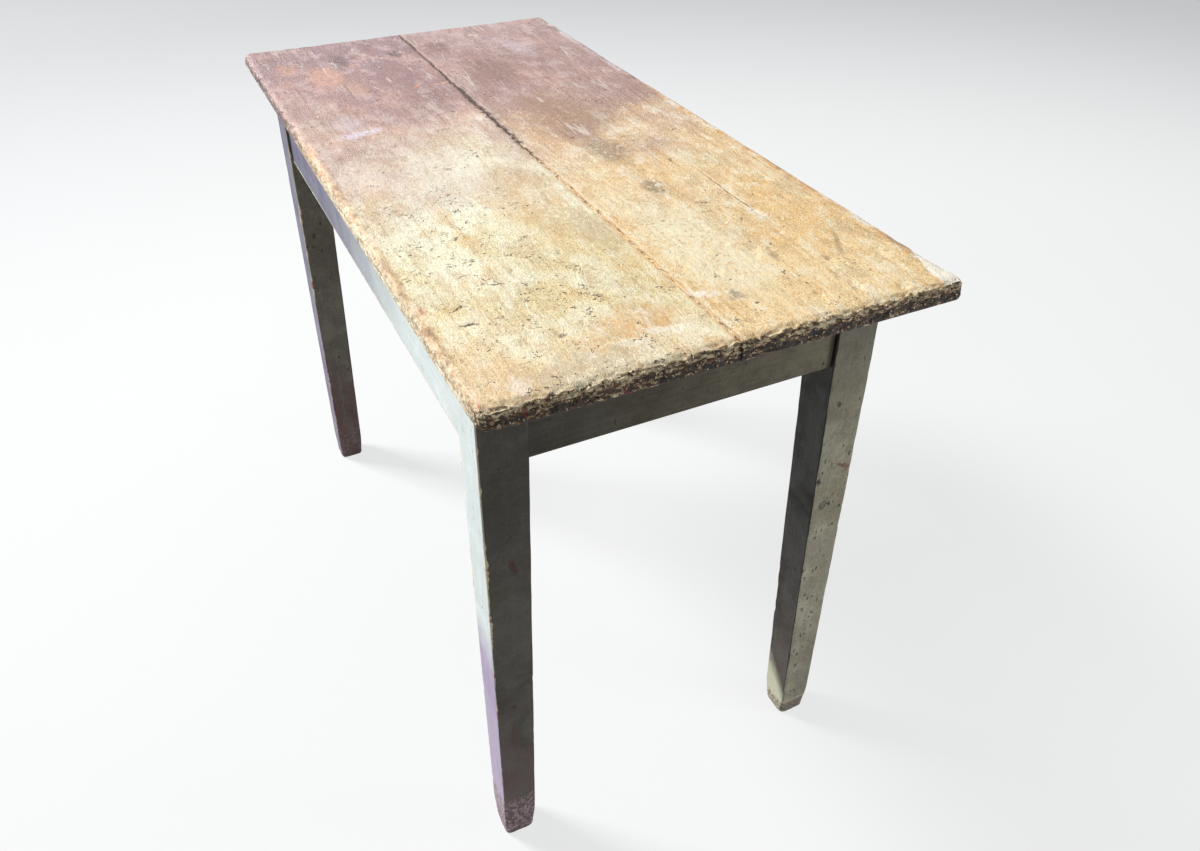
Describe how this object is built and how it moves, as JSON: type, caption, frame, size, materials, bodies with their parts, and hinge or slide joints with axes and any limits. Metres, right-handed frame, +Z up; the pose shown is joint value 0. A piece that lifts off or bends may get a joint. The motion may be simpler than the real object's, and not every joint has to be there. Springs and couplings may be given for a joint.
{
  "type": "kitchen table with drawers",
  "caption": "Old painted kitchen table with a worn plank top, plain aprons, square tapered legs and shallow dovetailed drawers with turned knobs under one long side.",
  "frame": {"origin": "on the floor under the middle of the top", "axes": "+X along the length, to the right of a person who faces the drawers; +Y towards the plain back apron, away from the drawers; +Z up"},
  "size_m": [1.07, 0.522, 0.76],
  "materials": {
    "top": "worn layers of cream and brown paint over bare boards",
    "paint": "old sage grey-green paint, worn through at the arrises",
    "inner": "bare aged softwood",
    "knob": "dark turned wood, handled",
    "nail": "rusty iron"
  },
  "bodies": {
    "table": {"top_board_front": "top", "top_board_back": "top", "top_nails": "nail", "leg_front_left": "paint", "leg_front_right": "paint", "leg_back_left": "paint", "leg_back_right": "paint", "apron_left": "paint", "apron_right": "paint", "apron_back": "paint", "rail_top_front": "paint", "rail_bottom_front": "paint", "stile_center": "paint", "runner_left": "inner", "runner_center": "inner", "runner_right": "inner", "kicker_left": "inner", "kicker_center": "inner", "kicker_right": "inner", "guide_left": "inner", "guide_center": "inner", "guide_right": "inner", "guide_nails": "nail", "drawer_stops": "inner"},
    "left_drawer": {"left_drawer_front": "paint", "left_drawer_side_left": "inner", "left_drawer_side_right": "inner", "left_drawer_back": "inner", "left_drawer_bottom": "inner", "left_drawer_knob": "knob", "left_drawer_nails": "nail"},
    "right_drawer": {"right_drawer_front": "paint", "right_drawer_side_left": "inner", "right_drawer_side_right": "inner", "right_drawer_back": "inner", "right_drawer_bottom": "inner", "right_drawer_knob": "knob", "right_drawer_nails": "nail"}
  },
  "joints": [
    {"name": "left_drawer_slide", "type": "slide", "parent": "table", "child": "left_drawer", "axis": [0, -1, 0], "range_m": [0, 0.3]},
    {"name": "right_drawer_slide", "type": "slide", "parent": "table", "child": "right_drawer", "axis": [0, -1, 0], "range_m": [0, 0.3]}
  ]
}
